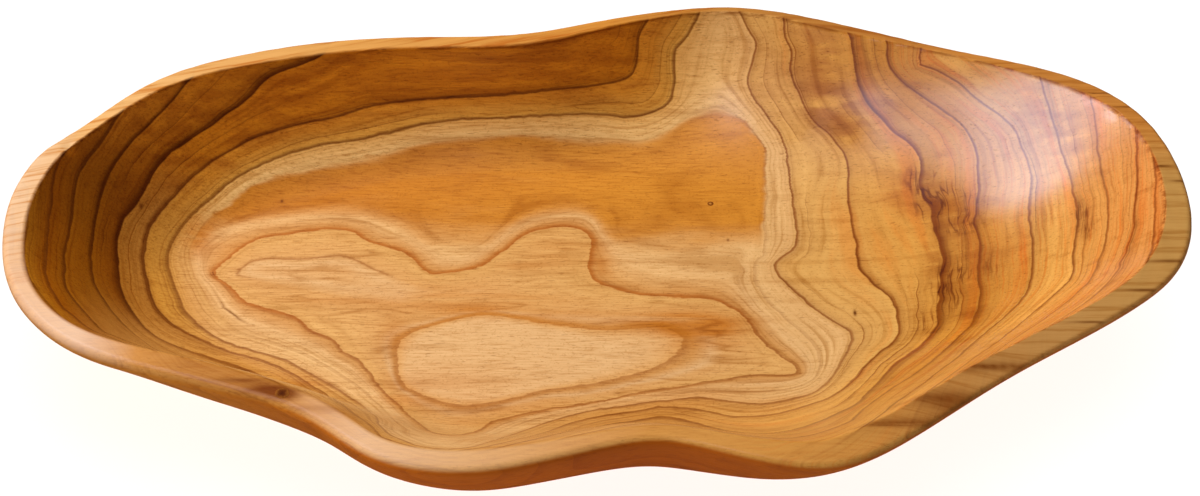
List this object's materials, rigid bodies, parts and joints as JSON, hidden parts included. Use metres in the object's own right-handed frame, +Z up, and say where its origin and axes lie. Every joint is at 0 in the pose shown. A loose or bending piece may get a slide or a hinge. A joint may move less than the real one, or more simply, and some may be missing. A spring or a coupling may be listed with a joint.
{
  "type": "salad bowl",
  "caption": "Long free-form wooden salad bowl carved from one slab, with a wandering natural-edge rim, a smooth lofted hollow and a flat sanded foot to stand on.",
  "frame": {"origin": "on the table, under the middle of the bowl's length and width", "axes": "+X along the bowl to its right tip, +Y to the back, +Z up"},
  "size_m": [0.3799, 0.22, 0.05],
  "materials": {
    "bowl_wood": "oiled satin, strongly figured",
    "knot_wood": "oiled satin, dark"
  },
  "bodies": {
    "root": {"bowl": "bowl_wood", "floor_knot": "knot_wood", "rim_knot": "knot_wood"}
  },
  "joints": []
}
